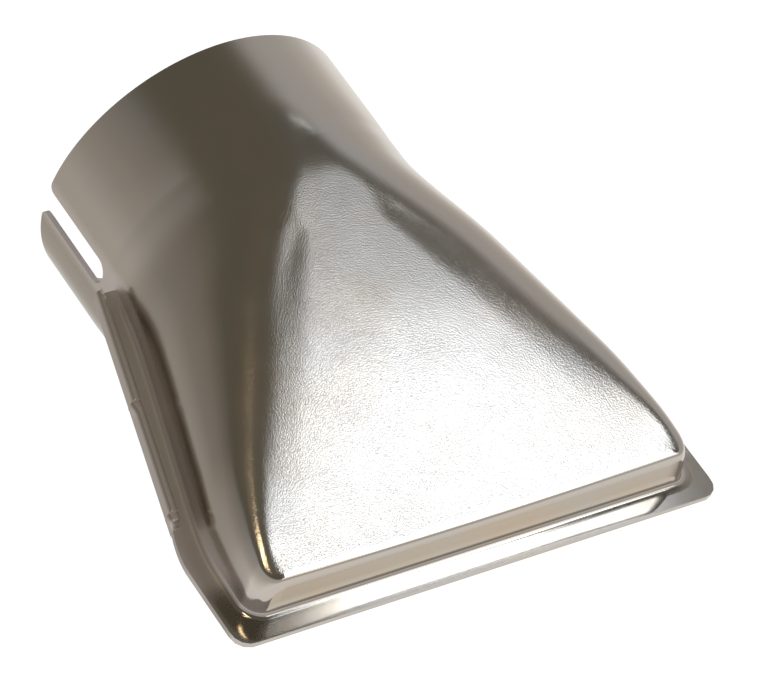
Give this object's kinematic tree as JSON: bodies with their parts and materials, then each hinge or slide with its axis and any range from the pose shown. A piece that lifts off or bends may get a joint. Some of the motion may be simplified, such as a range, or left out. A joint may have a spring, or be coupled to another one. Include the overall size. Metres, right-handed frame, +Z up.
{
  "type": "hot air gun surface nozzle",
  "caption": "Wide surface nozzle of pressed plated steel: a slit round collar for a hot-air gun widens into a low wedge with a flanged, downward-facing mouth.",
  "frame": {"origin": "on the collar's axis, in the plane of its rear rim", "axes": "+Y out of the rear of the collar along its bore, so the mouth is towards -Y; +Z up, square to the flange plane; +X across the nozzle"},
  "size_m": [0.0582, 0.0571, 0.0352],
  "materials": {
    "upper_nickel": "satin nickel plate, finely grained where the sheet was drawn",
    "lower_nickel": "satin nickel plate"
  },
  "bodies": {
    "root": {"upper_shell": "upper_nickel", "lower_shell": "lower_nickel"}
  },
  "joints": []
}
